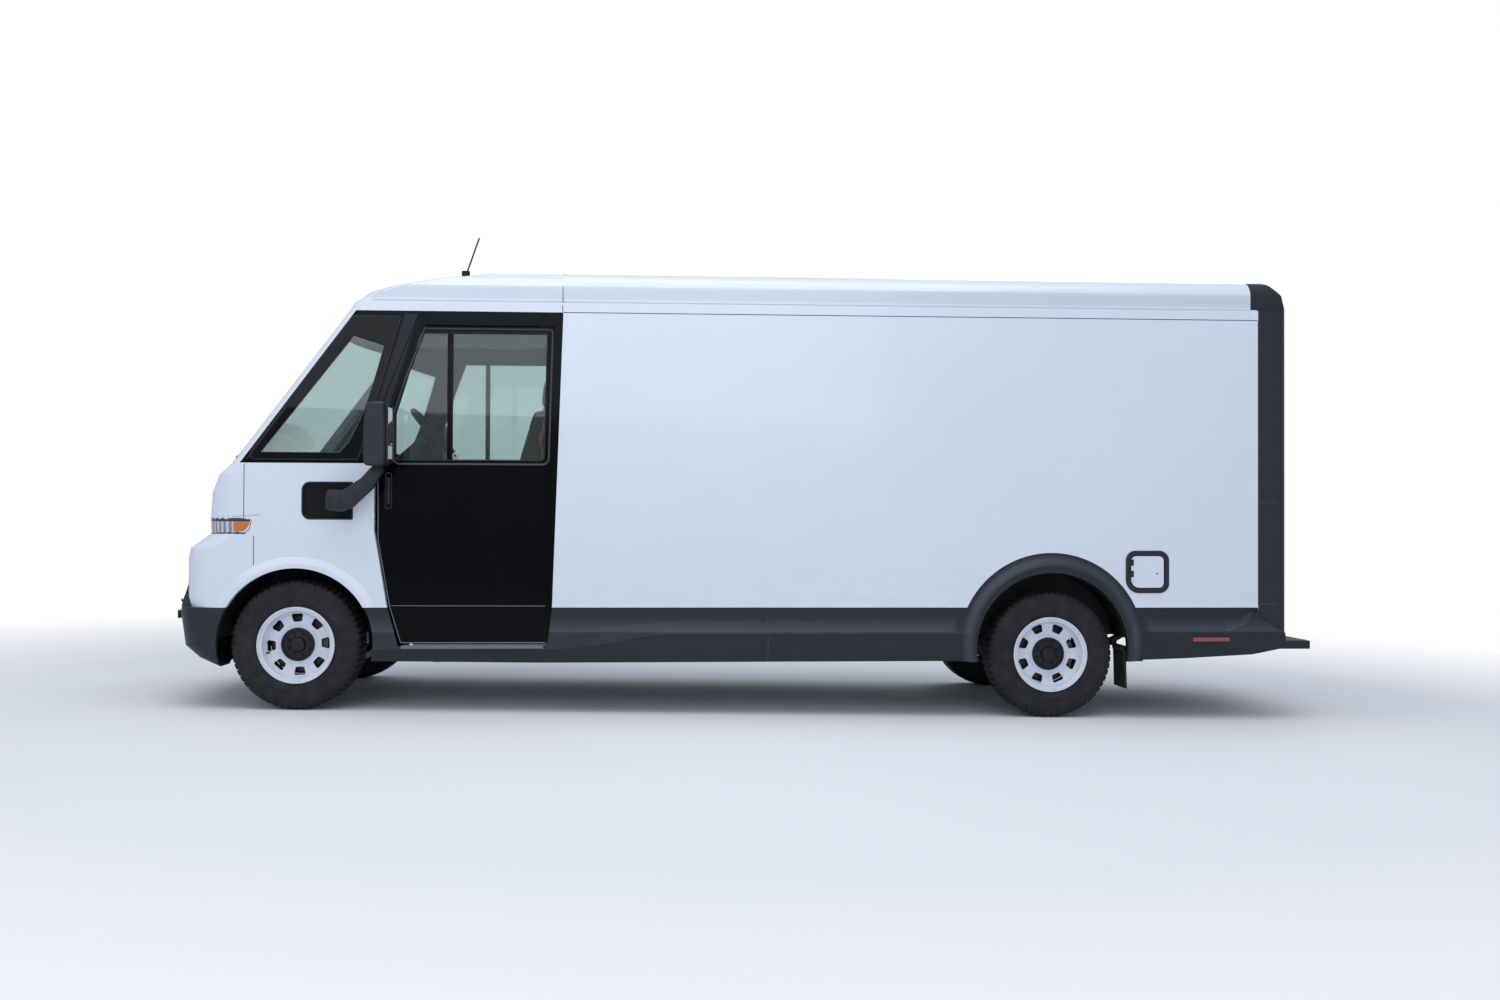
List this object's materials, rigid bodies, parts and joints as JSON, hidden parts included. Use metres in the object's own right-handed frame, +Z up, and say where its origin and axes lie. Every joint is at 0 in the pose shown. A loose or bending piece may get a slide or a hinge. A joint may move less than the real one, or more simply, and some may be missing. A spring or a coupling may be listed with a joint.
{
  "type": "electric delivery van",
  "caption": "Walk-through electric delivery van: rounded nose, sliding pocket cab doors, windowless load space with hinged rear doors, steel wheels.",
  "frame": {"origin": "centre of the whole van's box, on the ground", "axes": "+X towards the rear, -X the nose, +Y the van's right side, +Z up"},
  "size_m": [7.2606, 2.62, 2.9841],
  "materials": {
    "white_paint": "gloss",
    "black_trim": "satin",
    "gloss_black": "gloss",
    "chassis_black": "satin",
    "battery_case": "satin",
    "cast_alloy": "cast",
    "cast_steel": "cast",
    "deck": "satin",
    "inner_panel": "satin",
    "window_glass": "clear",
    "lamp_clear": "clear",
    "lamp_red": "gloss",
    "mirror_face": "polished",
    "flap_rubber": "matte",
    "dash_plastic": "grained",
    "seat_cloth": "woven",
    "wheel_white": "gloss",
    "tyre_rubber": "matte"
  },
  "bodies": {
    "root": {"chassis_frame": "chassis_black", "battery_pack": "battery_case", "drive_unit": "cast_alloy", "front_suspension": "chassis_black", "rear_suspension": "chassis_black", "floor": "deck", "wheel_houses": "black_trim", "cargo_walls": "white_paint", "cargo_roof": "white_paint", "cab_roof": "white_paint", "bulkhead": "inner_panel", "load_deck": "deck", "rear_frame": "black_trim", "rear_step": "black_trim", "hood": "white_paint", "nose_panel": "white_paint", "front_bumper": "black_trim", "fenders": "white_paint", "windscreen_pillars": "white_paint", "cab_frame": "gloss_black", "windscreen": "window_glass", "quarter_glass": "window_glass", "skirts": "black_trim", "side_vents": "black_trim", "headlamps": "lamp_clear", "tail_lamps": "lamp_red", "reflectors": "lamp_red", "mirrors": "black_trim", "mirror_glass": "mirror_face", "mud_flaps": "flap_rubber", "charge_port": "black_trim", "dashboard": "dash_plastic", "driver_seat": "seat_cloth", "steering_column": "dash_plastic", "wipers": "black_trim", "aerial": "black_trim"},
    "steering_wheel": {"steering_wheel": "dash_plastic"},
    "charge_door": {"charge_door": "white_paint"},
    "cab_door_left": {"door_left": "gloss_black", "door_glass_left": "window_glass"},
    "cab_door_right": {"door_right": "gloss_black", "door_glass_right": "window_glass"},
    "rear_door_left": {"rear_door_left": "white_paint"},
    "rear_door_right": {"rear_door_right": "white_paint"},
    "knuckle_left": {"knuckle_left": "cast_steel"},
    "knuckle_right": {"knuckle_right": "cast_steel"},
    "wheel_front_left": {"wheel_front_left": "wheel_white", "tyre_front_left": "tyre_rubber"},
    "wheel_front_right": {"wheel_front_right": "wheel_white", "tyre_front_right": "tyre_rubber"},
    "wheel_rear_left": {"wheel_rear_left": "wheel_white", "tyre_rear_left": "tyre_rubber"},
    "wheel_rear_right": {"wheel_rear_right": "wheel_white", "tyre_rear_right": "tyre_rubber"}
  },
  "joints": [
    {"name": "steer_left", "type": "hinge", "parent": "root", "child": "knuckle_left", "pos_m": [-2.7697, -0.79, 0.396], "axis": [-0.014, 0, 0.9999], "range_deg": [-35, 35]},
    {"name": "steer_right", "type": "hinge", "parent": "root", "child": "knuckle_right", "pos_m": [-2.7697, 0.79, 0.396], "axis": [-0.014, 0, 0.9999], "range_deg": [-35, 35]},
    {"name": "steering_wheel_turn", "type": "hinge", "parent": "root", "child": "steering_wheel", "pos_m": [-2.04833, -0.45, 1.7352], "axis": [0.7337, 0, 0.6794], "range_deg": [-490, 490]},
    {"name": "roll_front_left", "type": "hinge", "parent": "knuckle_left", "child": "wheel_front_left", "pos_m": [-2.7697, -0.862, 0.396], "axis": [0, 1, 0], "continuous": true},
    {"name": "roll_front_right", "type": "hinge", "parent": "knuckle_right", "child": "wheel_front_right", "pos_m": [-2.7697, 0.862, 0.396], "axis": [0, 1, 0], "continuous": true},
    {"name": "roll_rear_left", "type": "hinge", "parent": "root", "child": "wheel_rear_left", "pos_m": [1.8913, -0.862, 0.396], "axis": [0, 1, 0], "continuous": true},
    {"name": "roll_rear_right", "type": "hinge", "parent": "root", "child": "wheel_rear_right", "pos_m": [1.8913, 0.862, 0.396], "axis": [0, 1, 0], "continuous": true},
    {"name": "cab_door_left_slide", "type": "slide", "parent": "root", "child": "cab_door_left", "axis": [0.9999, 0, 0.014], "range_m": [0, 0.86]},
    {"name": "cab_door_right_slide", "type": "slide", "parent": "root", "child": "cab_door_right", "axis": [0.9999, 0, 0.014], "range_m": [0, 0.86]},
    {"name": "rear_door_left_swing", "type": "hinge", "parent": "root", "child": "rear_door_left", "pos_m": [3.40428, -0.864, 1.58632], "axis": [0.014, 0, -0.9999], "range_deg": [0, 180]},
    {"name": "rear_door_right_swing", "type": "hinge", "parent": "root", "child": "rear_door_right", "pos_m": [3.40428, 0.864, 1.58632], "axis": [-0.014, 0, 0.9999], "range_deg": [0, 180]},
    {"name": "charge_door_swing", "type": "hinge", "parent": "root", "child": "charge_door", "pos_m": [2.39344, -1.014, 0.92314], "axis": [0.014, 0, -0.9999], "range_deg": [0, 105]}
  ],
  "couplings": [
    {"joint": "steer_right", "follows": "steer_left", "ratio": 1},
    {"joint": "steering_wheel_turn", "follows": "steer_left", "ratio": 14}
  ]
}
